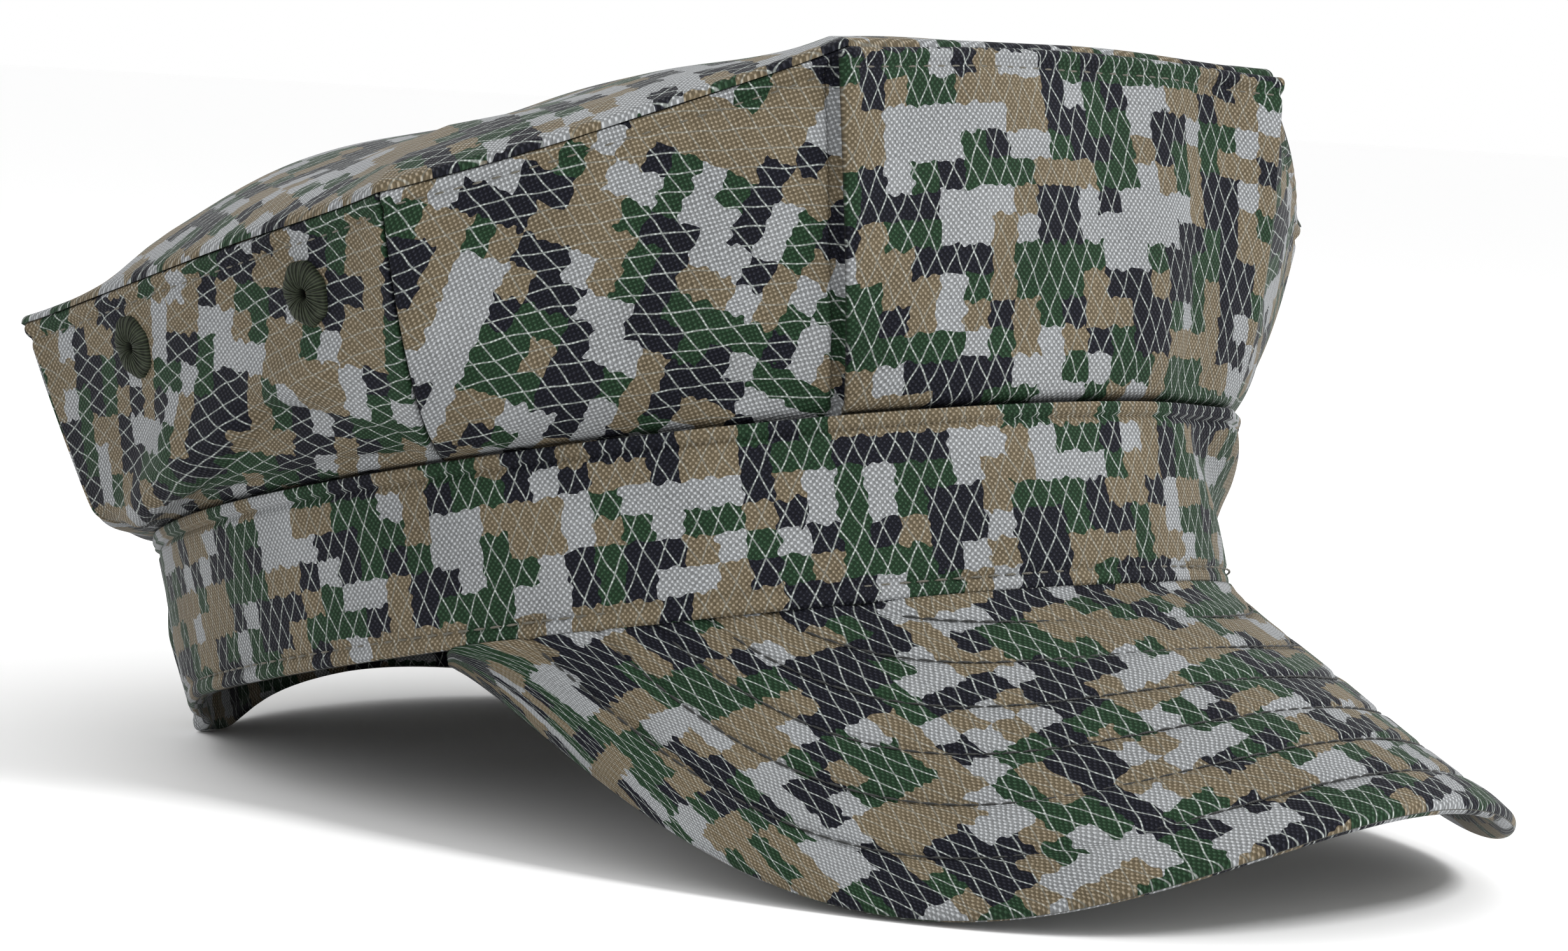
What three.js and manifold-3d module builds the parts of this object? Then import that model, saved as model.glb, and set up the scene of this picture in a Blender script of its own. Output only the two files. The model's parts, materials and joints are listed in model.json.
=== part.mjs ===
// Eight-point cap of folded cloth: a low band, eight crown panels, a puffed octagonal top, a drooping
// peak and four sewn ventilation eyelets. Millimetres. The cap is worked out in its own frame, where the
// band's lower rim lies at z = 0, the front faces -Y and the wearer's left is +X. The whole cap is then
// turned so that it stands as it does on a table, on the peak's two low edges and the rim's two low folds.
import * as THREE from 'three';
import * as BufferGeometryUtils from 'three/addons/utils/BufferGeometryUtils.js';
import Module from 'manifold-3d';

// Band
const BAND_HALF_LENGTH = 99.7;
const BAND_HALF_WIDTH = 90.4;
const BAND_HEIGHT = 29.5;
const BAND_THICKNESS = 2.2;
const BAND_LEAN_FRONT = -1.6;
const BAND_LEAN_BACK = 5.0;
const BAND_SEGMENTS = 96;
const BAND_ROWS = 5;

// Cloth of the crown, and the gap kept between neighbouring pieces
const CLOTH_THICKNESS = 1.3;
const SEAM_GAP = 0.35;
const PANEL_GAP = 0.5;
const CROWN_TUCK = 5.0;

// Crown corners from the front to the back, for the wearer's left. The band angle is counted from the
// front in degrees. The flare power sets how soon the wall swings out, the dome power how steeply the top
// rises beside the corner. Straight is the share of the wall that kicks out over the band and then hangs
// straight, and pinch is how flat the top lies near the corner.
const CORNERS = [
  { bandAngle: 29.4, x: 48.2, y: -96.5, z: 84.6, flare: 0.85, dome: 3.0, straight: 0.0, pinch: 0.0 },
  { bandAngle: 70.3, x: 104.5, y: -51.4, z: 68.6, flare: 0.55, dome: 3.0, straight: 0.2, pinch: 0.15 },
  { bandAngle: 122.0, x: 105.5, y: 46.8, z: 64.6, flare: 0.38, dome: 2.0, straight: 1.0, pinch: 1.0 },
  { bandAngle: 156.0, x: 45.0, y: 107.0, z: 60.5, flare: 0.38, dome: 2.0, straight: 1.0, pinch: 0.6 },
];
// Top edges that run on from those corners: how far each bends outward and upward, and the dome power at
// its middle. The front edge lies between the two front corners.
const EDGES = [
  { bow: 3.0, rise: -1.0, puff: 3.6 },
  { bow: 3.0, rise: 0.0, puff: 3.4 },
  { bow: 3.0, rise: -1.0, puff: 2.2 },
  { bow: 2.0, rise: -1.0, puff: 2.0 },
];
const FRONT_EDGE = { bow: 2.0, rise: 1.5, puff: 3.2 };
const CORNER_POINT = 2.5;
const CORNER_POINT_REACH = 7.0;
const PINCH_INNER = 11.0;
const PINCH_OUTER = 28.0;
const WALL_BELLY = 2.0;
const WALL_KICK = 0.5;
const WALL_KICK_HEIGHT = 0.08;
const WALL_ROWS = 8;
const WALL_COLUMNS = 10;
const FRONT_PANEL_STEP = 0.9;

// Top panel
const TOP_CENTRE = new THREE.Vector3(0, 4, 90);
const TOP_ROWS = 7;
const TOP_COLUMNS = 8;

// Peak: the edge leaves the band at the end angle on both sides. Reach and droop are polynomials of the
// share s from -1 on the wearer's right to 1 on the left.
const PEAK_END_ANGLE = 72.8;
const PEAK_END_SHARE = 0.985;
const PEAK_SPLAY = 0.49;
const PEAK_REACH = { centre: 124.0, twist: 8.5, square: -37.5, fourth: 18.6 };
const PEAK_DROOP = { centre: 39.5, twist: -5.7, square: 121.1, fourth: -121.3 };
const PEAK_THICKNESS = 2.8;
const PEAK_COLUMNS = 44;
const PEAK_ROWS = 8;

// Dents of the band, and folds of its lower rim, each centred at a band angle with a spread in degrees
const BAND_DENTS = [
  { at: 52, spread: 26, reach: 0.8, depth: 8.3 },
];
const RIM_FOLDS = [
  { at: -141, spread: 13, rise: -5.0 },
  { at: 141, spread: 13, rise: -5.0 },
  { at: 180, spread: 25, rise: 6.5 },
];

// Ventilation eyelets, each at a share along and up its panel
const EYELET_PLACES = [
  { name: 'front', along: 0.2, up: 0.8 },
  { name: 'rear', along: 0.69, up: 0.81 },
];
const EYELET_RADIUS = 4.6;
const EYELET_HOLE_RADIUS = 1.0;
const EYELET_HEIGHT = 0.8;
const EYELET_SIDES = 14;

const COLOURS = {
  cloth: 0x7d7868,
  thread: 0x2b3226,
};

const radians = THREE.MathUtils.degToRad;
const clamp = THREE.MathUtils.clamp;
const lerp = THREE.MathUtils.lerp;

// Signed angle from one band angle to another, within half a turn
function turnBetween(from, to) {
  return THREE.MathUtils.euclideanModulo(to - from + 180, 360) - 180;
}

function bellCurve(value) {
  return Math.exp(-value * value);
}

// Height of the band's lower rim over the flat rim plane
function rimHeight(angle) {
  let height = 0;
  for (const fold of RIM_FOLDS) {
    height += fold.rise * bellCurve(turnBetween(fold.at, angle) / fold.spread);
  }
  return height;
}

// Outward normal of the band's oval at an angle
function bandNormal(angle) {
  const a = radians(angle);
  return new THREE.Vector3(Math.sin(a) / BAND_HALF_WIDTH, -Math.cos(a) / BAND_HALF_LENGTH, 0).normalize();
}

// Outer face of the band at an angle and a share of its height, moved outward by an offset
function bandPoint(angle, share, offset = 0) {
  const a = radians(angle);
  const front = (1 + Math.cos(a)) / 2;
  let out = share * lerp(BAND_LEAN_BACK, BAND_LEAN_FRONT, front) + offset;
  for (const dent of BAND_DENTS) {
    const fade = Math.exp(-((share / dent.reach) ** 4));
    out -= dent.depth * fade * bellCurve(turnBetween(dent.at, angle) / dent.spread);
  }
  const z = lerp(rimHeight(angle), BAND_HEIGHT, share);
  const point = new THREE.Vector3(BAND_HALF_WIDTH * Math.sin(a), -BAND_HALF_LENGTH * Math.cos(a), z);
  return point.addScaledVector(bandNormal(angle), out);
}

// The eight corners round the whole crown, from the wearer's front left backward and round to the front
// right. Each carries the bow, rise and puff of the edge that follows it.
function crownRing() {
  const mirrored = CORNERS.map((row) => ({ ...row, bandAngle: 360 - row.bandAngle, x: -row.x }));
  const edges = [...EDGES, ...EDGES.slice(0, -1).reverse(), FRONT_EDGE];
  return [...CORNERS, ...mirrored.reverse()].map((row, index) => ({ ...row, ...edges[index] }));
}
const RING = crownRing();
const SIDES = RING.length;

// What holds at a place u round the crown: whole numbers are corners, the shares between run along the
// edges, and -1 to 0 is the front panel.
function crownStation(u) {
  const cell = Math.floor(u);
  const share = u - cell;
  const here = RING[THREE.MathUtils.euclideanModulo(cell, SIDES)];
  const next = RING[THREE.MathUtils.euclideanModulo(cell + 1, SIDES)];
  const angle = here.bandAngle + THREE.MathUtils.euclideanModulo(next.bandAngle - here.bandAngle, 360) * share;
  const start = new THREE.Vector3(here.x, here.y, here.z);
  const end = new THREE.Vector3(next.x, next.y, next.z);
  const flat = new THREE.Vector3(end.x - start.x, end.y - start.y, 0);
  const length = flat.length();
  const outward = new THREE.Vector3(flat.y, -flat.x, 0).divideScalar(length);
  const hump = 4 * share * (1 - share);
  const top = start.clone().lerp(end, share).addScaledVector(outward, here.bow * hump);
  top.z += here.rise * hump;
  const nearest = Math.min(share, 1 - share) * length;
  const radial = new THREE.Vector3(top.x, top.y, 0).normalize();
  top.addScaledVector(radial, CORNER_POINT * Math.exp(-nearest / CORNER_POINT_REACH));
  const dome = lerp(lerp(here.dome, next.dome, share), here.puff, hump);
  const straight = lerp(here.straight, next.straight, share);
  return { angle, top, flare: lerp(here.flare, next.flare, share), dome, straight };
}

// Outer face of the crown's wall at a place u and a share up the wall. Below 0 the cloth is the seam
// allowance, tucked down along the inside of the band.
function wallPoint(u, up) {
  const { angle, top, flare, straight } = crownStation(u);
  const normal = bandNormal(angle);
  const tucked = Math.min(up, 0) * CROWN_TUCK / BAND_HEIGHT;
  const foot = bandPoint(angle, 1 + tucked, -BAND_THICKNESS - SEAM_GAP);
  const share = clamp(up, 0, 1) ** 1.5;
  const kicked = WALL_KICK * (1 - Math.exp(-share / WALL_KICK_HEIGHT)) + (1 - WALL_KICK) * share;
  const swing = lerp(share ** flare, kicked, straight);
  const point = foot.clone();
  point.x += (top.x - foot.x) * swing;
  point.y += (top.y - foot.y) * swing;
  point.addScaledVector(normal, WALL_BELLY * (1 - 0.8 * straight) * Math.sin(Math.PI * clamp(up, 0, 1)));
  const base = BAND_HEIGHT + SEAM_GAP;
  point.z = up < 0 ? base + (CROWN_TUCK + SEAM_GAP) * up : lerp(base, top.z, share);
  return point;
}

// Outward direction of the wall, taken across the neighbouring panels so that it is shared at a corner
function wallDirection(u, up) {
  const aside = 0.1;
  const above = 0.04;
  if (up <= 0) {
    return bandNormal(crownStation(u).angle);
  }
  const along = wallPoint(u + aside, up).sub(wallPoint(u - aside, up));
  const upward = wallPoint(u, Math.min(up + above, 1)).sub(wallPoint(u, Math.max(up - above, 0.001)));
  return along.cross(upward).normalize();
}

// Upper face of the top panel at a place u and a share from the centre to the edge. Near a pinched corner
// the rise is held back.
function topPoint(u, share) {
  const { top, dome } = crownStation(u);
  const point = TOP_CENTRE.clone().lerp(top, share);
  let rise = (TOP_CENTRE.z - top.z) * (1 - share ** dome);
  for (const corner of RING) {
    const away = Math.hypot(point.x - corner.x, point.y - corner.y);
    rise *= 1 - corner.pinch * (1 - THREE.MathUtils.smoothstep(away, PINCH_INNER, PINCH_OUTER));
  }
  point.z = top.z + rise;
  return point;
}

// Free edge of the peak at a share from -1 to 1
function peakEdge(share) {
  const square = share * share;
  const inside = 1 - square;
  const end = radians(PEAK_END_ANGLE);
  const powers = (row) => row.centre + row.twist * share + row.square * square + row.fourth * square * square;
  const x = BAND_HALF_WIDTH * Math.sin(end) * (share + PEAK_SPLAY * share * inside);
  const y = -(BAND_HALF_LENGTH * Math.cos(end) + inside * powers(PEAK_REACH));
  return new THREE.Vector3(x, y, -inside * powers(PEAK_DROOP));
}

// Upper face of the peak at a share across and a share out from the band's rim to the free edge
function peakPoint(share, out) {
  const angle = PEAK_END_ANGLE * share;
  const inner = bandPoint(angle, 0, -SEAM_GAP);
  inner.z -= SEAM_GAP;
  return inner.lerp(peakEdge(share), out);
}

function peakDirection(share, out) {
  const step = 0.02;
  const across = peakPoint(Math.min(share + step, 1), 0.5).sub(peakPoint(Math.max(share - step, -1), 0.5));
  const outward = peakPoint(share, 1).sub(peakPoint(share, 0));
  return outward.cross(across).normalize();
}

// Closed body between an outer and an inner grid of points, each a list of rows
function shellGeometry(outer, inner, joined = false) {
  const positions = [];
  const rows = outer.length;
  const columns = outer[0].length;
  const spans = joined ? columns : columns - 1;
  const face = (a, b, c, d) => {
    for (const point of [a, b, c, a, c, d]) {
      positions.push(point.x, point.y, point.z);
    }
  };
  for (let row = 0; row < rows - 1; row += 1) {
    for (let column = 0; column < spans; column += 1) {
      const next = (column + 1) % columns;
      face(outer[row][column], outer[row][next], outer[row + 1][next], outer[row + 1][column]);
      face(inner[row + 1][column], inner[row + 1][next], inner[row][next], inner[row][column]);
    }
  }
  const last = rows - 1;
  for (let column = 0; column < spans; column += 1) {
    const next = (column + 1) % columns;
    face(inner[0][column], inner[0][next], outer[0][next], outer[0][column]);
    face(outer[last][column], outer[last][next], inner[last][next], inner[last][column]);
  }
  if (!joined) {
    const end = columns - 1;
    for (let row = 0; row < last; row += 1) {
      face(outer[row][0], outer[row + 1][0], inner[row + 1][0], inner[row][0]);
      face(inner[row][end], inner[row + 1][end], outer[row + 1][end], outer[row][end]);
    }
  }
  const geometry = new THREE.BufferGeometry();
  geometry.setAttribute('position', new THREE.Float32BufferAttribute(positions, 3));
  return facingOut(withoutSlivers(BufferGeometryUtils.mergeVertices(geometry, 1e-3)));
}

// Drops the triangles that shrink to a line where a grid runs into a point
function withoutSlivers(geometry) {
  const source = geometry.index.array;
  const kept = [];
  for (let start = 0; start < source.length; start += 3) {
    const [a, b, c] = source.slice(start, start + 3);
    if (a !== b && b !== c && c !== a) {
      kept.push(a, b, c);
    }
  }
  geometry.setIndex(kept);
  return geometry;
}

// Turns the triangles round where the body's signed volume is negative
function facingOut(geometry) {
  const place = geometry.attributes.position;
  const index = geometry.index.array;
  const corner = [new THREE.Vector3(), new THREE.Vector3(), new THREE.Vector3()];
  let volume = 0;
  for (let start = 0; start < index.length; start += 3) {
    corner.forEach((point, offset) => point.fromBufferAttribute(place, index[start + offset]));
    volume += corner[0].dot(corner[1].clone().cross(corner[2])) / 6;
  }
  if (volume < 0) {
    const turned = Array.from(index).reverse();
    geometry.setIndex(turned);
  }
  geometry.computeVertexNormals();
  return geometry;
}

function steps(count, from = 0, to = 1) {
  return Array.from({ length: count + 1 }, (_, index) => lerp(from, to, index / count));
}

const wasm = await Module();
wasm.setup();

function solidOf(geometry) {
  const mesh = new wasm.Mesh({
    numProp: 3,
    vertProperties: Float32Array.from(geometry.attributes.position.array),
    triVerts: Uint32Array.from(geometry.index.array),
  });
  return new wasm.Manifold(mesh);
}

function geometryOf(solid) {
  const mesh = solid.getMesh();
  const geometry = new THREE.BufferGeometry();
  geometry.setAttribute('position', new THREE.Float32BufferAttribute(mesh.vertProperties, 3));
  geometry.setIndex(Array.from(mesh.triVerts));
  geometry.computeVertexNormals();
  return geometry;
}

function clothMesh(name, geometry, colour, roughness) {
  const material = new THREE.MeshStandardMaterial({ color: colour, roughness, metalness: 0 });
  const mesh = new THREE.Mesh(geometry, material);
  mesh.name = name;
  return mesh;
}

function makeBand() {
  const angles = steps(BAND_SEGMENTS, 0, 360).slice(0, -1);
  const grid = (offset) => steps(BAND_ROWS).map((share) => angles.map((angle) => bandPoint(angle, share, offset)));
  return clothMesh('band', shellGeometry(grid(0), grid(-BAND_THICKNESS), true), COLOURS.cloth, 0.85);
}

// Rows of a panel: the seam allowance below, then the wall itself
function wallRows() {
  return [-1, 0, 0.1, ...steps(WALL_ROWS, 0.2, 1)];
}

function wallShell(from, to, lift) {
  const rows = wallRows();
  const places = steps(WALL_COLUMNS, from, to);
  const outer = rows.map((up) => places.map((u) => {
    const point = wallPoint(u, up);
    return up > 0 ? point.addScaledVector(wallDirection(u, up), lift) : point;
  }));
  const inner = rows.map((up, row) => places.map((u, column) => {
    const point = wallPoint(u, up).addScaledVector(wallDirection(u, up), lift * (up > 0) - CLOTH_THICKNESS);
    if (up === 1) {
      point.z = outer[row][column].z;
    }
    return point;
  }));
  return shellGeometry(outer, inner);
}

function topEdgeLength(side) {
  const here = RING[THREE.MathUtils.euclideanModulo(side, SIDES)];
  const next = RING[THREE.MathUtils.euclideanModulo(side + 1, SIDES)];
  return Math.hypot(next.x - here.x, next.y - here.y);
}

// One panel of the wall, with the bores of its eyelets cut through
function makePanel(name, side, bores) {
  const margin = PANEL_GAP / topEdgeLength(side);
  const lift = side === -1 ? FRONT_PANEL_STEP : 0;
  let geometry = wallShell(side + margin, side + 1 - margin, lift);
  for (const bore of bores) {
    geometry = geometryOf(solidOf(geometry).subtract(solidOf(boreGeometry(bore))));
  }
  return clothMesh(name, geometry, COLOURS.cloth, 0.85);
}

// Frame of an eyelet on the wall: its centre and the directions along, up and out of the cloth
function eyeletFrame(u, up) {
  const centre = wallPoint(u, up);
  const out = wallDirection(u, up);
  const along = wallPoint(u + 0.02, up).sub(wallPoint(u - 0.02, up)).normalize();
  const upward = out.clone().cross(along).normalize();
  return { u, up, centre, along, upward, out };
}

// Place on the wall under a point of an eyelet's disc, with a small step found from the wall's own slopes
function wallUnder(frame, radius, angle) {
  const target = frame.centre.clone()
    .addScaledVector(frame.along, radius * Math.cos(angle))
    .addScaledVector(frame.upward, radius * Math.sin(angle));
  const step = 0.02;
  const tangentU = wallPoint(frame.u + step, frame.up).sub(wallPoint(frame.u - step, frame.up));
  const tangentV = wallPoint(frame.u, frame.up + step).sub(wallPoint(frame.u, frame.up - step));
  let u = frame.u;
  let up = frame.up;
  for (let round = 0; round < 6; round += 1) {
    const miss = target.clone().sub(wallPoint(u, up));
    u += miss.dot(tangentU) / tangentU.lengthSq() * 2 * step;
    up += miss.dot(tangentV) / tangentV.lengthSq() * 2 * step;
  }
  return { u, up };
}

function boreGeometry(frame) {
  const half = 4;
  const ring = (offset) => steps(10, 0, 2 * Math.PI).slice(0, -1).map((angle) => frame.centre.clone()
    .addScaledVector(frame.along, EYELET_HOLE_RADIUS * 1.3 * Math.cos(angle))
    .addScaledVector(frame.upward, EYELET_HOLE_RADIUS * 1.3 * Math.sin(angle))
    .addScaledVector(frame.out, offset));
  const axis = (offset) => ring(offset).map(() => frame.centre.clone().addScaledVector(frame.out, offset));
  return shellGeometry([axis(-half), ring(-half), ring(half), axis(half)], [axis(-half), axis(-half),
    axis(half), axis(half)], true);
}

// A raised ring of close stitches that follows the cloth under it
function makeEyelet(name, frame) {
  const angles = steps(EYELET_SIDES, 0, 2 * Math.PI).slice(0, -1);
  const radii = [EYELET_HOLE_RADIUS, lerp(EYELET_HOLE_RADIUS, EYELET_RADIUS, 0.5), EYELET_RADIUS];
  const grid = (heights) => radii.map((radius, row) => angles.map((angle) => {
    const { u, up } = wallUnder(frame, radius, angle);
    return wallPoint(u, up).addScaledVector(wallDirection(u, up), heights[row]);
  }));
  const upper = grid([SEAM_GAP + EYELET_HEIGHT * 0.7, SEAM_GAP + EYELET_HEIGHT, SEAM_GAP + EYELET_HEIGHT * 0.4]);
  const lower = grid([SEAM_GAP, SEAM_GAP, SEAM_GAP]);
  return clothMesh(name, shellGeometry(upper, lower, true), COLOURS.thread, 0.7);
}

function makeTop() {
  const places = [];
  for (let side = 0; side < SIDES; side += 1) {
    places.push(...steps(TOP_COLUMNS, side, side + 1).slice(0, -1));
  }
  const shares = steps(TOP_ROWS).map((share) => share ** 0.7);
  const grid = (drop) => shares.map((share) => places.map((u) => {
    const point = topPoint(u, share);
    point.z += SEAM_GAP + CLOTH_THICKNESS - drop;
    return point;
  }));
  return clothMesh('crown_top', shellGeometry(grid(0), grid(CLOTH_THICKNESS), true), COLOURS.cloth, 0.85);
}

function makePeak() {
  const shares = steps(PEAK_COLUMNS, -PEAK_END_SHARE, PEAK_END_SHARE);
  const outs = steps(PEAK_ROWS);
  const upper = outs.map((out) => shares.map((share) => peakPoint(share, out)));
  const lower = outs.map((out) => shares.map((share) => peakPoint(share, out)
    .addScaledVector(peakDirection(share, out), -PEAK_THICKNESS)));
  return clothMesh('peak', shellGeometry(upper, lower), COLOURS.cloth, 0.85);
}

const PANELS = [
  { name: 'front_panel', side: -1 },
  { name: 'side_front_panel_left', side: 0 },
  { name: 'side_rear_panel_left', side: 1, eyelets: 'left' },
  { name: 'rear_side_panel_left', side: 2 },
  { name: 'back_panel', side: 3 },
  { name: 'rear_side_panel_right', side: 4 },
  { name: 'side_rear_panel_right', side: 5, eyelets: 'right' },
  { name: 'side_front_panel_right', side: 6 },
];

// Angle that brings the peak's lowest edge and the lowest folds of the band's rim down to one level
function restAngle() {
  const rim = steps(BAND_SEGMENTS, 90, 270).map((angle) => bandPoint(angle, 0));
  const slopes = steps(100, -PEAK_END_SHARE, PEAK_END_SHARE).map((share) => {
    const low = peakPoint(share, 1).addScaledVector(peakDirection(share, 1), -PEAK_THICKNESS);
    return Math.min(...rim.map((point) => Math.atan2(point.z - low.z, point.y - low.y)));
  });
  return Math.max(...slopes);
}

function makeCap() {
  const cap = new THREE.Group();
  cap.add(makeBand());
  for (const panel of PANELS) {
    const places = panel.eyelets ? EYELET_PLACES : [];
    const frames = places.map((place) => {
      const along = panel.eyelets === 'left' ? place.along : 1 - place.along;
      return eyeletFrame(panel.side + along, place.up);
    });
    cap.add(makePanel(panel.name, panel.side, frames));
    frames.forEach((frame, index) => {
      cap.add(makeEyelet(`eyelet_${places[index].name}_${panel.eyelets}`, frame));
    });
  }
  cap.add(makeTop());
  cap.add(makePeak());
  return cap;
}

// Stands the cap on z = 0, with the middle of its footprint over the origin
function standing(cap) {
  const group = new THREE.Group();
  group.add(cap);
  cap.rotation.x = -restAngle();
  group.updateMatrixWorld(true);
  const box = new THREE.Box3().setFromObject(group, true);
  const centre = box.getCenter(new THREE.Vector3());
  cap.position.set(-centre.x, -centre.y, -box.min.z);
  return group;
}

export default standing(makeCap());
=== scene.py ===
import json
import math

import bmesh
import bpy
import numpy as np
from bpy.props import FloatProperty, FloatVectorProperty, PointerProperty
from mathutils import Matrix, Vector

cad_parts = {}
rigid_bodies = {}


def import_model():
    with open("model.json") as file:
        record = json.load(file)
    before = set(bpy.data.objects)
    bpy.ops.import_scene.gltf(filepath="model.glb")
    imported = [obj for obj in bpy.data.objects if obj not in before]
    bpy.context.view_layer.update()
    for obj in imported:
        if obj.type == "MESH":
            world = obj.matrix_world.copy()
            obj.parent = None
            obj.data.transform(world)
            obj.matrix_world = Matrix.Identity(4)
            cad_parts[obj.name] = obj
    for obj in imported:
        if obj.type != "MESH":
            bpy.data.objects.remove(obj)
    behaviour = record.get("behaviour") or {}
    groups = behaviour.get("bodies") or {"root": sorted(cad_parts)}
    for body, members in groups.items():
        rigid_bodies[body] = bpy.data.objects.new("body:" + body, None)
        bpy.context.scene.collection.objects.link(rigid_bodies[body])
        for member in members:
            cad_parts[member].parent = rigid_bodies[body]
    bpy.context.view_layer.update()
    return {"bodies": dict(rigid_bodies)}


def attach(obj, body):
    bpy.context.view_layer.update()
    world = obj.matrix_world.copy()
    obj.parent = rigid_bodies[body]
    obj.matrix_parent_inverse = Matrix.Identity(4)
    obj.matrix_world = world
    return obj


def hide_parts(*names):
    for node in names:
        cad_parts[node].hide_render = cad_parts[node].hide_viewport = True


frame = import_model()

bl_info = {
    "name": "Eight-Point Cap",
    "version": (1, 0, 0),
    "blender": (4, 5, 0),
    "location": "3D View > Sidebar > Cap",
    "description": "Builds a soft eight-point utility cap of printed cloth from a few sizes",
    "category": "Object",
}

(BODY,) = frame["bodies"]
MM = 0.001
# Length of cloth in mm that one unit of the print's coordinates stands for
CLOTH_UNIT = 100.0

# The cap is worked out in its own frame in millimetres: the lower rim lies at z = 0, the front faces -Y
# and the wearer's left is +X. It is then turned front up and moved to where it stands on the table.
STAND_TILT = 13.645
STAND_SHIFT = (0.0, 18.810, 22.809)

BAND_HALF_LENGTH = 99.7
BAND_HALF_WIDTH = 90.4
BAND_HEIGHT = 29.5
BAND_THICKNESS = 2.2
BAND_LEAN_FRONT = -1.6
BAND_LEAN_BACK = 5.0
SEAM_GAP = 0.35
CROWN_TUCK = 5.0
CLOTH_THICKNESS = 1.3

# Crown corners from the front to the back on the wearer's left: band angle from the front in degrees,
# place, flare and dome powers, how far the wall kicks out over the band and hangs straight, how much the
# corner is pinched flat, then bow, rise and puff of the edge that runs on to the next corner.
CORNER_COLUMNS = ("angle", "x", "y", "z", "flare", "dome", "straight", "pinch", "bow", "rise", "puff")
CORNERS = (
    (29.4, 48.2, -96.5, 84.6, 0.85, 3.0, 0.0, 0.0, 3.0, -1.0, 3.6),
    (70.3, 104.5, -51.4, 68.6, 0.55, 3.0, 0.2, 0.15, 3.0, 0.0, 3.4),
    (122.0, 105.5, 46.8, 64.6, 0.38, 2.0, 1.0, 1.0, 3.0, -1.0, 2.2),
    (156.0, 45.0, 107.0, 60.5, 0.38, 2.0, 1.0, 0.6, 2.0, -1.0, 2.0),
)
FRONT_BOW, FRONT_RISE, FRONT_PUFF = 2.0, 1.5, 3.2
CORNER_POINT = 2.5
CORNER_POINT_REACH = 7.0
PINCH_INNER, PINCH_OUTER = 11.0, 28.0
WALL_BELLY = 2.0
WALL_KICK = 0.56
WALL_KICK_HEIGHT = 0.02
TOP_CENTRE = np.array((0.0, 4.0, 90.0))

PEAK_END_ANGLE = 72.8
PEAK_END_SHARE = 0.985
PEAK_SPLAY = 0.49
PEAK_REACH = (124.0, 8.5, -37.5, 18.6)
PEAK_DROOP = (39.5, -5.7, 121.1, -121.3)
PEAK_THICKNESS = 2.8

# Dents of the band: band angle, spread in degrees, share of the height that it reaches, depth
BAND_DENTS = ((52.0, 26.0, 0.8, 8.3),)
# Folds of the band's lower rim: band angle, spread in degrees, rise
RIM_FOLDS = ((-141.0, 13.0, -5.0), (141.0, 13.0, -5.0), (180.0, 25.0, 6.5))

# Eyelets: place, share of the way along their panel, share of its height
EYELETS = (("front", 0.2, 0.8), ("rear", 0.69, 0.81))
EYELET_HALF_WIDTH = 4.4
EYELET_HALF_HEIGHT = 5.0
EYELET_CENTRE = 0.01
EYELET_THREADS = 30.0
EYELET_HOLE_DEPTH = 1.5
EYELET_DEPTH = 1.9
EYELET_COLUMNS = 241
EYELET_ROWS = 24

RIPPLE_WAVES = 8

# Distances in mm of the peak's sewn rows from its free edge
SEWN_ROWS_OF_PEAK = (10.0, 19.5, 29.0, 38.5, 48.0, 57.5)
TOPSTITCH_DROP = 2.9
HEM_RISE = 2.6
WELT_HEIGHT = 2.0

# Panels: node, edge of the crown that it hangs from, turn of the print in degrees, print offset
PANELS = (
    ("front_panel", -1, 0.0, (0.0, 0.0)),
    ("side_front_panel_left", 0, -58.0, (310.0, 40.0)),
    ("side_rear_panel_left", 1, -74.0, (150.0, 210.0)),
    ("rear_side_panel_left", 2, -20.0, (520.0, 330.0)),
    ("back_panel", 3, 3.0, (770.0, 90.0)),
    ("rear_side_panel_right", 4, 28.0, (610.0, 480.0)),
    ("side_rear_panel_right", 5, 74.0, (450.0, 640.0)),
    ("side_front_panel_right", 6, 58.0, (250.0, 760.0)),
)

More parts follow.
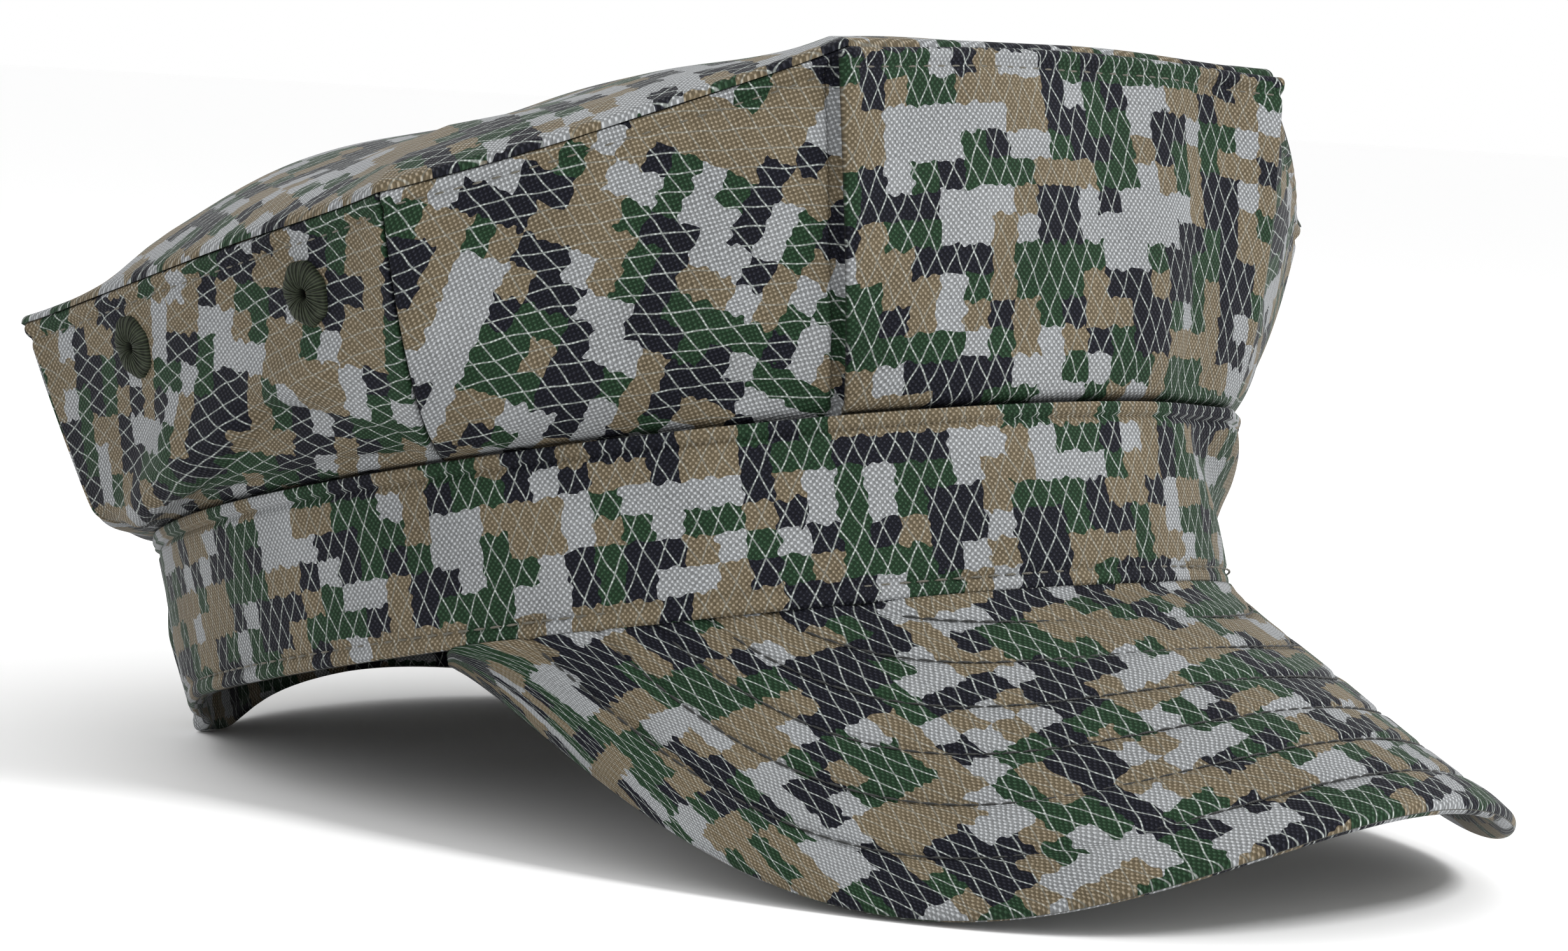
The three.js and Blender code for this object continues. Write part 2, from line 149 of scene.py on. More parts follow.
# Folds pressed into the cloth of each piece: start and end on the cloth in mm, width, height
FOLD_COLUMNS = ("x0", "y0", "x1", "y1", "width", "height")
FOLDS = {
    "side_front_panel_right": (
        (18.0, 8.0, 40.0, 40.0, 7.0, -1.5),
        (-30.0, 6.0, 6.0, 16.0, 6.0, 1.2),
        (-36.0, 44.0, -6.0, 22.0, 8.0, -1.0),
    ),
    "side_rear_panel_right": (
        (-44.0, 6.0, -14.0, 20.0, 5.0, 2.4),
        (-14.0, 5.0, 14.0, 15.0, 5.0, -3.2),
        (-6.0, 18.0, 26.0, 25.0, 4.5, 2.6),
        (12.0, 6.0, 44.0, 10.0, 4.5, -1.6),
        (14.0, 20.0, 36.0, 8.0, 4.0, -2.8),
    ),
    "side_rear_panel_left": (
        (-40.0, 20.0, 0.0, 12.0, 6.0, -1.2),
        (6.0, 12.0, 40.0, 24.0, 6.0, 1.1),
    ),
    "side_front_panel_left": (
        (-30.0, 40.0, 8.0, 12.0, 8.0, -1.2),
    ),
    "front_panel": (
        (-30.0, 10.0, -22.0, 58.0, 10.0, 0.8),
        (26.0, 6.0, 34.0, 50.0, 7.0, -1.8),
        (12.0, 22.0, 20.0, 60.0, 8.0, 1.0),
    ),
    "back_panel": (
        (-24.0, 8.0, 10.0, 16.0, 6.0, -1.2),
        (0.0, 24.0, 34.0, 14.0, 7.0, 1.0),
    ),
    "rear_side_panel_right": (
        (-20.0, 6.0, 18.0, 22.0, 6.0, -1.1),
    ),
    "rear_side_panel_left": (
        (-18.0, 22.0, 22.0, 8.0, 6.0, -1.1),
    ),
    "band": (
        (32.0, 22.0, 56.0, 9.0, 4.5, -2.2),
        (42.0, 27.0, 60.0, 19.0, 3.5, 1.4),
        (62.0, 2.0, 78.0, 26.0, 4.0, -2.0),
        (72.0, 0.0, 92.0, 20.0, 4.5, 1.8),
        (86.0, 4.0, 96.0, 27.0, 4.0, -1.6),
        (-236.0, 0.0, -232.0, 14.0, 3.0, 2.2),
        (-225.0, 0.0, -217.0, 20.0, 4.0, -1.6),
        (300.0, 4.0, 285.0, 24.0, 6.0, -1.2),
    ),
}


def unit(vectors):
    """Vectors divided by their lengths."""
    return vectors / np.maximum(np.linalg.norm(vectors, axis=-1, keepdims=True), 1e-9)


def blend(low, high, share):
    """Straight blend from low at share 0 to high at share 1."""
    return low + (high - low) * share


def soft_step(low, high, value):
    """Smooth step from 0 at low to 1 at high."""
    share = np.clip((value - low) / (high - low), 0.0, 1.0)
    return share * share * (3.0 - 2.0 * share)


def bell(value):
    """Bell curve, 1 at zero."""
    return np.exp(-value * value)


def turn_between(start, angle):
    """Signed turn in degrees from start to angle, within half a turn."""
    return np.mod(np.asarray(angle, float) - start + 180.0, 360.0) - 180.0


def rim_height(angle):
    """Height of the lower rim over its plane: the sum of the rim folds' bell curves."""
    return sum(rise * bell(turn_between(at, angle) / spread) for at, spread, rise in RIM_FOLDS)


def band_normal(angle):
    """Outward normal of the band's oval, flat."""
    a = np.radians(angle)
    flat = np.stack((np.sin(a) / BAND_HALF_WIDTH, -np.cos(a) / BAND_HALF_LENGTH, np.zeros_like(a)), -1)
    return unit(flat)


def band_point(angle, share, offset=0.0):
    """Band's outer face: an oval that leans with the height and is pushed in by the dents."""
    angle, share = np.broadcast_arrays(np.asarray(angle, float), np.asarray(share, float))
    a = np.radians(angle)
    out = share * blend(BAND_LEAN_BACK, BAND_LEAN_FRONT, (1.0 + np.cos(a)) / 2.0) + offset
    for at, spread, reach, depth in BAND_DENTS:
        out = out - depth * np.exp(-np.abs(share / reach) ** 4) * bell(turn_between(at, angle) / spread)
    z = blend(rim_height(angle), BAND_HEIGHT, share)
    oval = np.stack((BAND_HALF_WIDTH * np.sin(a), -BAND_HALF_LENGTH * np.cos(a), z), -1)
    return oval + band_normal(angle) * out[..., None]


def crown_ring():
    """The eight corners as named columns, round from the front left over the back to the front right."""
    left = [dict(zip(CORNER_COLUMNS, row)) for row in CORNERS]
    right = [dict(row, angle=360.0 - row["angle"], x=-row["x"]) for row in reversed(left)]
    front = {"bow": FRONT_BOW, "rise": FRONT_RISE, "puff": FRONT_PUFF}
    edges = [left[2], left[1], left[0], front]
    for row, edge in zip(right, edges):
        row.update({key: edge[key] for key in ("bow", "rise", "puff")})
    rows = left + right
    return {key: np.array([row[key] for row in rows]) for key in CORNER_COLUMNS}


RING = crown_ring()
SIDES = len(RING["angle"])


def crown_station(u):
    """Band angle, top edge point, flare power and dome power at a place u round the crown.

    Whole numbers are corners. Between them the top edge is a straight line plus a hump 4s(1-s) outward
    and upward, and each corner is drawn out by a falling exponential.
    """
    u = np.asarray(u, float)
    cell = np.floor(u).astype(int)
    share = u - cell
    here, there = cell % SIDES, (cell + 1) % SIDES
    angle = RING["angle"][here] + np.mod(RING["angle"][there] - RING["angle"][here], 360.0) * share
    start = np.stack([RING[key][here] for key in "xyz"], -1)
    end = np.stack([RING[key][there] for key in "xyz"], -1)
    flat = (end - start)[..., :2]
    length = np.linalg.norm(flat, axis=-1)
    outward = np.stack((flat[..., 1], -flat[..., 0]), -1) / length[..., None]
    hump = 4.0 * share * (1.0 - share)
    top = blend(start, end, share[..., None])
    top[..., :2] += outward * (RING["bow"][here] * hump)[..., None]
    top[..., 2] += RING["rise"][here] * hump
    nearest = np.minimum(share, 1.0 - share) * length
    drawn = CORNER_POINT * np.exp(-nearest / CORNER_POINT_REACH)
    top[..., :2] += unit(top[..., :2]) * drawn[..., None]
    flare = blend(RING["flare"][here], RING["flare"][there], share)
    dome = blend(blend(RING["dome"][here], RING["dome"][there], share), RING["puff"][here], hump)
    return angle, top, flare, dome


def between_corners(u, column):
    """A column of the corner table, blended along the edge at a place u."""
    cell = np.floor(u).astype(int)
    return blend(RING[column][cell % SIDES], RING[column][(cell + 1) % SIDES], u - cell)


def wall_point(u, up):
    """Crown wall's outer face: it swings from the band out to the top edge by a power of the height.

    Where the cloth hangs straight it first kicks out over the band, by 1 - exp(-height), and then slants.
    """
    u, up = np.broadcast_arrays(np.asarray(u, float), np.asarray(up, float))
    angle, top, flare, _ = crown_station(u)
    tucked = np.minimum(up, 0.0) * CROWN_TUCK / BAND_HEIGHT
    foot = band_point(angle, 1.0 + tucked, -BAND_THICKNESS - SEAM_GAP)
    rise = np.clip(up, 0.0, 1.0)
    share = rise**1.5
    point = foot.copy()
    straight = between_corners(u, "straight")
    kicked = WALL_KICK * (1.0 - np.exp(-share / WALL_KICK_HEIGHT)) + (1.0 - WALL_KICK) * share
    point[..., :2] += (top - foot)[..., :2] * blend(share**flare, kicked, straight)[..., None]
    belly = WALL_BELLY * (1.0 - 0.8 * straight) * np.sin(math.pi * rise)
    point += band_normal(angle) * belly[..., None]
    base = BAND_HEIGHT + SEAM_GAP
    point[..., 2] = np.where(up < 0, base + (CROWN_TUCK + SEAM_GAP) * up, blend(base, top[..., 2], share))
    return point


def wall_direction(u, up, aside=0.1, above=0.04):
    """Outward direction of the wall, taken across neighbouring panels so that they share it."""
    u, up = np.broadcast_arrays(np.asarray(u, float), np.asarray(up, float))
    along = wall_point(u + aside, up) - wall_point(u - aside, up)
    upward = wall_point(u, np.minimum(up + above, 1.0)) - wall_point(u, np.maximum(up - above, 0.001))
    slanted = unit(np.cross(along, upward))
    return np.where((up <= 0)[..., None], band_normal(crown_station(u)[0]), slanted)


def top_point(u, share):
    """Top panel's face: straight spokes to the middle, raised by 1 - share to the dome power.

    Round a pinched corner the rise is held back by a smooth step of the distance from the corner.
    """
    u, share = np.broadcast_arrays(np.asarray(u, float), np.asarray(share, float))
    _, top, _, dome = crown_station(u)
    point = blend(TOP_CENTRE, top, share[..., None])
    rise = (TOP_CENTRE[2] - top[..., 2]) * (1.0 - share**dome)
    for corner in range(SIDES):
        away = np.hypot(point[..., 0] - RING["x"][corner], point[..., 1] - RING["y"][corner])
        rise = rise * (1.0 - RING["pinch"][corner] * (1.0 - soft_step(PINCH_INNER, PINCH_OUTER, away)))
    point[..., 2] = top[..., 2] + rise
    return point


def peak_edge(share):
    """Peak's free edge: reach and droop are polynomials of the share, gone where it meets the band."""
    share = np.asarray(share, float)
    square = share * share
    inside = 1.0 - square

    def powers(row):
        return row[0] + row[1] * share + row[2] * square + row[3] * square * square

    end = math.radians(PEAK_END_ANGLE)
    x = BAND_HALF_WIDTH * math.sin(end) * (share + PEAK_SPLAY * share * inside)
    y = -(BAND_HALF_LENGTH * math.cos(end) + inside * powers(PEAK_REACH))
    return np.stack((x, y, -inside * powers(PEAK_DROOP)), -1)


def peak_point(share, out):
    """Peak's upper face: straight lines from the band's rim to the free edge."""
    share, out = np.broadcast_arrays(np.asarray(share, float), np.asarray(out, float))
    inner = band_point(PEAK_END_ANGLE * share, 0.0, -SEAM_GAP)
    inner[..., 2] -= SEAM_GAP
    return blend(inner, peak_edge(share), out[..., None])


def peak_direction(share):
    """Upward normal of the peak, the same along each of its straight lines."""
    share = np.asarray(share, float)
    across = peak_point(np.minimum(share + 0.02, 1.0), 0.5) - peak_point(np.maximum(share - 0.02, -1.0), 0.5)
    outward = peak_point(share, 1.0) - peak_point(share, 0.0)
    return unit(np.cross(outward, across))


def cloth_lengths(points):
    """Distances in mm on the surface, along the columns from the middle one and along the rows."""
    steps_x = np.linalg.norm(np.diff(points, axis=1), axis=-1)
    steps_y = np.linalg.norm(np.diff(points, axis=0), axis=-1)
    x = np.concatenate((np.zeros((len(points), 1)), np.cumsum(steps_x, 1)), 1)
    y = np.concatenate((np.zeros((1, points.shape[1])), np.cumsum(steps_y, 0)), 0)
    return x - x[:, points.shape[1] // 2][:, None], y


def folds_of(piece, x, y):
    """Sum of the piece's folds: each a bell across a line on the cloth, fading past its ends."""
    total = np.zeros_like(x)
    for row in FOLDS[piece]:
        fold = dict(zip(FOLD_COLUMNS, row))
        along = np.array((fold["x1"] - fold["x0"], fold["y1"] - fold["y0"]))
        length = np.hypot(*along)
        along = along / length
        dx, dy = x - fold["x0"], y - fold["y0"]
        down = dx * along[0] + dy * along[1]
        aside = dx * along[1] - dy * along[0]
        beyond = np.maximum(np.maximum(-down, down - length), 0.0)
        total += fold["height"] * bell(aside / fold["width"]) * bell(beyond / (2.0 * fold["width"]))
    return total


def ripples(x, y, seed, size, height):
    """Gentle unevenness: sine waves of seeded directions, lengths and phases, added up."""
    random = np.random.default_rng(seed)
    total = np.zeros_like(x)
    for _ in range(RIPPLE_WAVES):
        turn, phase = random.uniform(0.0, 2.0 * math.pi, 2)
        length = size * random.uniform(0.6, 1.6)
        total += np.sin((x * math.cos(turn) + y * math.sin(turn)) * 2.0 * math.pi / length + phase)
    return total * height * 2.0 / RIPPLE_WAVES


def rolled(distance, radius):
    """How far a rolled edge falls back at a distance from it: a quarter circle of the radius."""
    inside = np.clip(radius - distance, 0.0, radius)
    return radius - np.sqrt(np.maximum(radius * radius - inside * inside, 0.0))


def groove(distance, width, depth):
    """A sewn groove: a bell across the seam line."""
    return -depth * bell(distance / width)


def gathered(count, low=0.0, high=1.0):
    """Numbers from low to high, close together at both ends."""
    return blend(low, high, 0.5 - 0.5 * np.cos(np.linspace(0.0, math.pi, count)))


def standing(points):
    """Points turned front up and moved on to the table, in metres."""
    tilt = math.radians(STAND_TILT)
    x, y, z = np.moveaxis(points, -1, 0)
    turned = (x, y * math.cos(tilt) + z * math.sin(tilt), z * math.cos(tilt) - y * math.sin(tilt))
    return (np.stack(turned, -1) + np.array(STAND_SHIFT)) * MM


def surface_area(points):
    """Area of a grid in square mm: the sum of the cross products of its steps."""
    down, across = np.diff(points, axis=0)[:, :-1], np.diff(points, axis=1)[:-1]
    return float(np.linalg.norm(np.cross(down, across), axis=-1).sum())


def loop_of(outer, inner):
    """Rows of the outer face followed by the inner face's rows in reverse, one closed loop."""
    return np.concatenate((outer, inner[::-1]))


def grid_quads(rows, columns, rows_closed, columns_closed):
    """Row and column of each quad's four corners, as two arrays of four columns."""
    r = np.arange(rows if rows_closed else rows - 1)
    c = np.arange(columns if columns_closed else columns - 1)
    r, c = (part.ravel() for part in np.meshgrid(r, c, indexing="ij"))
    return np.stack((r, r, r + 1, r + 1), 1), np.stack((c, c + 1, c + 1, c), 1)


def smooth_mesh(name, points, faces):
    """Mesh with smooth faces, of points in mm that are stood on the table."""
    mesh = bpy.data.meshes.new(name)
    mesh.from_pydata(standing(points).tolist(), [], faces)
    mesh.polygons.foreach_set("use_smooth", np.ones(len(faces), bool))
    mesh.update()
    return mesh


def closed_mesh(name, points, prints, columns_closed, rows_closed=True):
    """Mesh of a loop of rows carried along columns. Open ends are closed by strips across the loop.

    Prints holds the print's coordinates in mm, with one more column where the columns are closed. Faces
    that enclose a negative volume are turned outward.
    """
    rows, columns = points.shape[:2]
    r, c = grid_quads(rows, columns, rows_closed, columns_closed)
    if not columns_closed:
        near = np.arange(rows // 2 - 1)
        far = rows - 1 - near
        for column, turned in ((0, 1), (columns - 1, -1)):
            strip = np.stack((near, near + 1, far - 1, far), 1)[:, ::turned]
            r = np.concatenate((r, strip))
            c = np.concatenate((c, np.full_like(strip, column)))
    quads = (r % rows) * columns + c % columns
    prints = np.concatenate((prints, prints[:1]))[r, c]
    flat = points.reshape(-1, 3)
    corners = [flat[quads[:, k]] for k in range(4)]
    volume = sum(np.sum(corners[0] * np.cross(corners[k], corners[k + 1])) for k in (1, 2))
    if volume < 0:
        quads, prints = quads[:, ::-1], prints[:, ::-1]
    mesh = smooth_mesh(name, flat, quads.tolist())
    layer = mesh.uv_layers.new(name="cloth")
    layer.data.foreach_set("uv", (prints.reshape(-1, 2) / CLOTH_UNIT).ravel())
    return mesh


def turned_print(x, y, turn, offset):
    """Print coordinates in mm, turned on the cloth and moved to another place of the print."""
    a = math.radians(turn)
    across = x * math.cos(a) + y * math.sin(a) + offset[0]
    along = y * math.cos(a) - x * math.sin(a) + offset[1]
    return np.stack((across, along), -1)


def add_piece(mesh, material, node=None):
    """Puts a mesh in the scene as a piece of its name, which stands for a CAD node if one is given."""
    piece = bpy.data.objects.new(mesh.name, mesh)
    bpy.context.scene.collection.objects.link(piece)
    mesh.materials.append(material)
    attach(piece, BODY)
    if node:
        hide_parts(node)
    return piece


def add_cloth(mesh, node, width, length, area):
    """Adds a sewn piece of the printed cloth. Its width, length and area in mm, the size that it was cut to,
    are not used.
    """
    piece = add_piece(mesh, material_named("printed_cloth", cloth_material), node)


class Value:
    """A node's output socket that adds Math nodes to its tree when it is reckoned with."""

    def __init__(self, graph, socket):
        self.graph = graph
        self.socket = socket

    def __add__(self, other):
        return self.graph.math("ADD", self, other)

    __radd__ = __add__

    def __sub__(self, other):
        return self.graph.math("SUBTRACT", self, other)

    def __rsub__(self, other):
        return self.graph.math("SUBTRACT", other, self)

    def __mul__(self, other):
        return self.graph.math("MULTIPLY", self, other)

    __rmul__ = __mul__

    def __truediv__(self, other):
        return self.graph.math("DIVIDE", self, other)

    def __gt__(self, other):
        return self.graph.math("GREATER_THAN", self, other)


class Graph:
    """A material's node tree, with one method for nodes and short ones for what recurs."""

    def __init__(self, name):
        self.material = bpy.data.materials.new(name)
        self.material.use_nodes = True
        self.tree = self.material.node_tree
        self.tree.nodes.clear()

    def put(self, socket, value):
        """Links a value's socket to an input, or sets the input to a plain value."""
        if isinstance(value, Value):
            self.tree.links.new(value.socket, socket)
        elif socket.type == "RGBA" and len(value) == 3:
            socket.default_value = (*value, 1.0)
        else:
            socket.default_value = value

    def node(self, kind, settings=None, inputs=None, output=0):
        """Adds a node of a type, sets its settings, then its inputs, and gives one of its outputs."""
        node = self.tree.nodes.new(kind)
        for key, value in (settings or {}).items():
            setattr(node, key, value)
        for key, value in (inputs or {}).items():
            self.put(node.inputs[key], value)
        return Value(self, node.outputs[output]) if node.outputs else None

    def math(self, operation, *values):
        return self.node("ShaderNodeMath", {"operation": operation}, dict(enumerate(values)))

    def vector_math(self, operation, *values):
        return self.node("ShaderNodeVectorMath", {"operation": operation}, dict(enumerate(values)))

    def mix(self, factor, low, high):
        """Mix of two colours."""
        return self.node("ShaderNodeMix", {"data_type": "RGBA"}, {0: factor, 6: low, 7: high}, 2)

    def join(self, x, y, z=0.0):
        return self.node("ShaderNodeCombineXYZ", None, {0: x, 1: y, 2: z})

    def split(self, vector):
        first = self.node("ShaderNodeSeparateXYZ", None, {0: vector})
        return [Value(self, socket) for socket in first.socket.node.outputs]

    def noise(self, vector, scale, detail=0.0, roughness=0.5):
        inputs = {"Vector": vector, "Scale": scale, "Detail": detail, "Roughness": roughness}
        return self.node("ShaderNodeTexNoise", {"noise_dimensions": "2D"}, inputs)

    def wave(self, value, pitch):
        """Sine of a length with a pitch, from -1 to 1."""
        return self.math("SINE", value * (2.0 * math.pi / pitch))

    def ramp(self, value, low, high, start=0.0, end=1.0, kind="SMOOTHSTEP"):
        """Value carried from the range low to high into the range start to end."""
        inputs = {"Value": value, "From Min": low, "From Max": high, "To Min": start, "To Max": end}
        return self.node("ShaderNodeMapRange", {"interpolation_type": kind}, inputs)

    def shaded(self, colour, shade):
        """Colour multiplied by a shade."""
        return self.vector_math("MULTIPLY", colour, self.join(shade, shade, shade))

    def bump(self, height, strength, depth):
        """Relief of a height, with its depth in metres."""
        return self.node("ShaderNodeBump", None, {"Strength": strength, "Distance": depth, "Height": height})

    def finish(self, inputs):
        """Ends the tree with a Principled shader of these inputs."""
        shader = self.node("ShaderNodeBsdfPrincipled", None, inputs)
        self.node("ShaderNodeOutputMaterial", None, {"Surface": shader})
        return self.material


# Layers of the print from the lowest up, tan, green and black: place in the noise, scale and level
PRINT_LAYERS = ((3.7, 0.46, 0.700), (41.3, 0.44, 0.820), (87.1, 0.46, 0.852))
PRINT_RAGGEDNESS = 0.45
PRINT_STRETCH = 0.8
PRINT_SLOPE = 1.7
# How far the edges of the print wander, in mm, and the scale of the noise that they follow
WANDER, WANDER_SCALE = 1.7, 0.55
# The net: where a line's edge fades, as shares of a diamond, its bends, and how strongly it shows
NET_FADE = (0.012, 0.062)
NET_BEND, NET_BEND_SCALE = 0.22, 0.2
NET_ON_DARK, NET_ON_TAN = 0.78, 0.30
# The weave: stretch of the cross threads, sway of the threads in mm, and the lit part of a thread, which gets
# a painted highlight
WEFT_STRETCH = 1.08
SWAY, SWAY_SCALE, WEFT_SWAY = 0.7, 0.3, 0.4
THREAD_LIT = (-0.3, 0.8)
FIBRE_SCALE, PATCH_SCALE = 1.6, 0.05
# Levels that multiply the colour: a ground level, the painted highlight and painted shade of the threads, and
# the tone of fibres and patches
SHADE, SHADE_OF_THREADS, SHADE_OF_FIBRES, SHADE_OF_PATCHES = 0.60, 0.85, 0.6, 0.30
# Painted glint: a pale highlight colour mixed into the colour on the lit threads; its share, range, cut on the
# dark colours and colour
GLINT, GLINT_RANGE, GLINT_CUT_ON_DARK = 0.13, (0.9, 1.5), 0.8
GLINT_COLOUR = (0.60, 0.62, 0.65)
WEAVE_DEPTH = 0.00022


def print_masks(graph, x, y, settings):
    """Masks of tan, green and black: noise read once per cell of the print, cut at a level."""
    column = graph.math("FLOOR", x / settings.cell_width)
    row = graph.math("FLOOR", y / settings.cell_height)
    masks = []
    for shift, scale, level in PRINT_LAYERS:
        cell = graph.join((column + shift) * PRINT_STRETCH, row + shift * PRINT_SLOPE)
        large = graph.noise(cell, scale)
        fine = graph.node("ShaderNodeTexWhiteNoise", {"noise_dimensions": "2D"}, {"Vector": cell})
        masks.append((large + fine * PRINT_RAGGEDNESS) > level)
    return masks


def net_lines(graph, x, y, settings):
    """Mask of fine lines in two slanting directions that cross into a diamond net."""
    masks = []
    for sign in (1.0, -1.0):
        across = x / settings.net_width + y * (sign / settings.net_height)
        bend = graph.noise(graph.join(x, y), NET_BEND_SCALE) * NET_BEND
        away = graph.math("ABSOLUTE", graph.math("FRACT", across + bend) - 0.5)
        masks.append(graph.ramp(away, *NET_FADE, 1.0, 0.0))
    return graph.math("MAXIMUM", *masks)


def cloth_material(name):
    """Printed plain weave: block camouflage, a fine net over the dark colours, threads with a painted
    highlight and painted shade between them, a painted glint, and wear.
    """
    graph = Graph(name)
    settings = bpy.context.scene.cap_settings
    coordinates = graph.node("ShaderNodeUVMap", {"uv_map": "cloth"})
    x, y, _ = graph.split(graph.vector_math("MULTIPLY", coordinates, (CLOTH_UNIT,) * 3))
    place = graph.join(x, y)
    print_x = x + (graph.noise(place, WANDER_SCALE) - 0.5) * WANDER
    print_y = y + (graph.noise(graph.join(y, x + 70.0), WANDER_SCALE) - 0.5) * WANDER
    masks = print_masks(graph, print_x, print_y, settings)
    tone = tuple(settings.grey)
    for mask, colour in zip(masks, (settings.tan, settings.green, settings.black)):
        tone = graph.mix(mask, tone, tuple(colour))
    tan_mask, green_mask, black_mask = masks
    dark = graph.math("MAXIMUM", green_mask, black_mask)
    lines = net_lines(graph, x, y, settings)
    strength = lines * (dark * NET_ON_DARK + (1.0 - dark) * tan_mask * NET_ON_TAN)
    tone = graph.mix(strength, tone, tuple(settings.net))
    sway = (graph.noise(place, SWAY_SCALE, 1.0) - 0.5) * SWAY
    warp = graph.wave(x + sway, settings.weave_pitch)
    weft = graph.wave(y + sway * WEFT_SWAY, settings.weave_pitch * WEFT_STRETCH)
    threads = warp * weft
    fibres = graph.noise(place, FIBRE_SCALE, 2.0, 0.6)
    patches = graph.noise(place, PATCH_SCALE, 2.0, 0.6)
    # Painted highlight on the threads and painted shade in the gaps between them, multiplied into the colour
    lit = graph.ramp(threads, *THREAD_LIT)
    shade = SHADE + lit * SHADE_OF_THREADS + (fibres - 0.5) * SHADE_OF_FIBRES
    tone = graph.shaded(tone, shade + (patches - 0.5) * SHADE_OF_PATCHES)
    # Painted glint: the highlight colour mixed into the base colour on the brightest threads, weaker on the
    # dark colours
    glint = graph.ramp(lit + fibres * 0.6, *GLINT_RANGE, 0.0, GLINT, "LINEAR")
    return graph.finish({
        "Base Color": graph.mix(glint * (1.0 - dark * GLINT_CUT_ON_DARK), tone, GLINT_COLOUR),
        "Roughness": 0.60 + (fibres - 0.5) * 0.25 - threads * 0.10,
        "Normal": graph.bump(lit + fibres * 0.5, 0.7, WEAVE_DEPTH),
        "Sheen Weight": 0.02,
        "Sheen Roughness": 0.4,
        "Specular IOR Level": 0.10,
    })


# Length in mm of one turn of the sewing thread's strands
THREAD_TWIST = 0.35


def thread_material(name, colour):
    """Twisted sewing thread: fine slanting strands that vary the colour and the relief."""
    graph = Graph(name)
    place = graph.node("ShaderNodeTexCoord", output="Object")
    x, y, z = graph.split(graph.vector_math("MULTIPLY", place, (1.0 / MM,) * 3))
    strands = graph.wave(x + y * 0.7 + z * 1.3, THREAD_TWIST)
    mottle = graph.node("ShaderNodeTexNoise", None, {"Vector": place, "Scale": 900.0, "Detail": 2.0})
    shade = 0.85 + strands * 0.15 + (mottle - 0.5) * 0.5
    return graph.finish({
        "Base Color": graph.shaded(colour, shade),
        "Roughness": 0.65,
        "Normal": graph.bump(strands, 0.4, 0.0001),
        "Sheen Weight": 0.15,
    })


# Where the painted shade in the hole of an eyelet ends, from and to, as shares of the way out
EYELET_HOLE = (0.08, 0.24)


def embroidery_material(name, colour):
    """Satin stitches of an eyelet: strands that run outward with painted highlights, painted shade between
    them, and painted shade in the hole.
    """
    graph = Graph(name)
    turn, out, _ = graph.split(graph.node("ShaderNodeUVMap", {"uv_map": "cloth"}))
    twist = graph.noise(graph.join(turn * 3.0, out * 0.6), 1.7, 1.0) - 0.5
    pitch = math.pi / EYELET_THREADS / CLOTH_UNIT
    # Painted highlights on the strands and painted shade between them, multiplied into the thread colour
    strands = graph.wave(turn + twist * 0.05 + out * 0.02, pitch)
    rings = graph.noise(graph.join(turn * 160.0, out * 700.0), 1.0, 2.0)
    # Painted shade of the hole: the colour falls nearly to black towards the middle of the eyelet
    hole = graph.ramp(out, *(share / CLOTH_UNIT for share in EYELET_HOLE), 0.01, 1.0)
    shade = (0.80 + strands * 0.55 + (rings - 0.5) * 0.9) * hole
    return graph.finish({
        "Base Color": graph.shaded(colour, shade),
        "Roughness": 0.5,
        "Normal": graph.bump(strands, 0.6, 0.00025),
        "Specular IOR Level": 0.15,
    })


def material_named(name, make, *values):
    """The material of that name, made on its first use."""
    return bpy.data.materials.get(name) or make(name, *values)


# Stitches: length in pitches and radius in mm
TOPSTITCH = (0.7, 0.2)
PEAK_STITCH = (1.0, 0.19)
STITCH_RINGS = 6
STITCH_SIDES = 6


def read_path(values, run, at):
    """Values of a path's points, read at lengths along it."""
    return np.stack([np.interp(at, run, values[:, k]) for k in range(3)], -1)


def stitch_mesh(name, paths, pitch, length, radius):
    """Sewing stitches along paths: small spindles, the same few-sided form turned and placed by arrays.

    Each path is a line of points with an outward direction at every point, in mm.
    """
    places, alongs, outs = [], [], []
    for points, directions in paths:
        run = np.concatenate(((0.0,), np.cumsum(np.linalg.norm(np.diff(points, axis=0), axis=1))))
        at = np.arange(pitch, run[-1] - pitch, pitch)
        near = pitch * 0.3
        places.append(read_path(points, run, at))
        alongs.append(unit(read_path(points, run, at + near) - read_path(points, run, at - near)))
        outs.append(unit(read_path(directions, run, at)))
    place, along, out = (np.concatenate(part) for part in (places, alongs, outs))
    side = unit(np.cross(along, out))
    axes = np.stack((along, side, np.cross(side, along)), 1)
    rings = np.linspace(-1.0, 1.0, STITCH_RINGS)
    turns = np.arange(STITCH_SIDES) * 2.0 * math.pi / STITCH_SIDES
    a, b = np.meshgrid(rings, turns, indexing="ij")
    thick = np.maximum(1.0 - np.abs(a) ** 3, 0.25) * radius
    sunk = np.abs(a) ** 4 * radius
    form = np.stack((a * length / 2.0, np.cos(b) * thick, np.sin(b) * thick - sunk), -1).reshape(-1, 3)
    vertices = place[:, None, :] + np.einsum("vk,nkd->nvd", form, axes)
    r, c = grid_quads(STITCH_RINGS, STITCH_SIDES, False, True)
    quads = (r * STITCH_SIDES + c % STITCH_SIDES)[:, ::-1]
    first = np.arange(STITCH_SIDES)
    ends = np.stack((first, first[::-1] + len(form) - STITCH_SIDES))
    starts = np.arange(len(place))[:, None, None] * len(form)
    faces = [face for part in (quads, ends) for face in (starts + part).reshape(-1, part.shape[1]).tolist()]
    return smooth_mesh(name, vertices.reshape(-1, 3), faces)


def add_stitches(name, paths, form, thread, colour):
    """Adds stitches along paths, of a length and radius, in a thread of a colour."""
    pitch = bpy.context.scene.cap_settings.stitch_pitch
    length, radius = form
    mesh = stitch_mesh(name, paths, pitch, pitch * length, radius)
    add_piece(mesh, material_named(thread, thread_material, tuple(colour)))


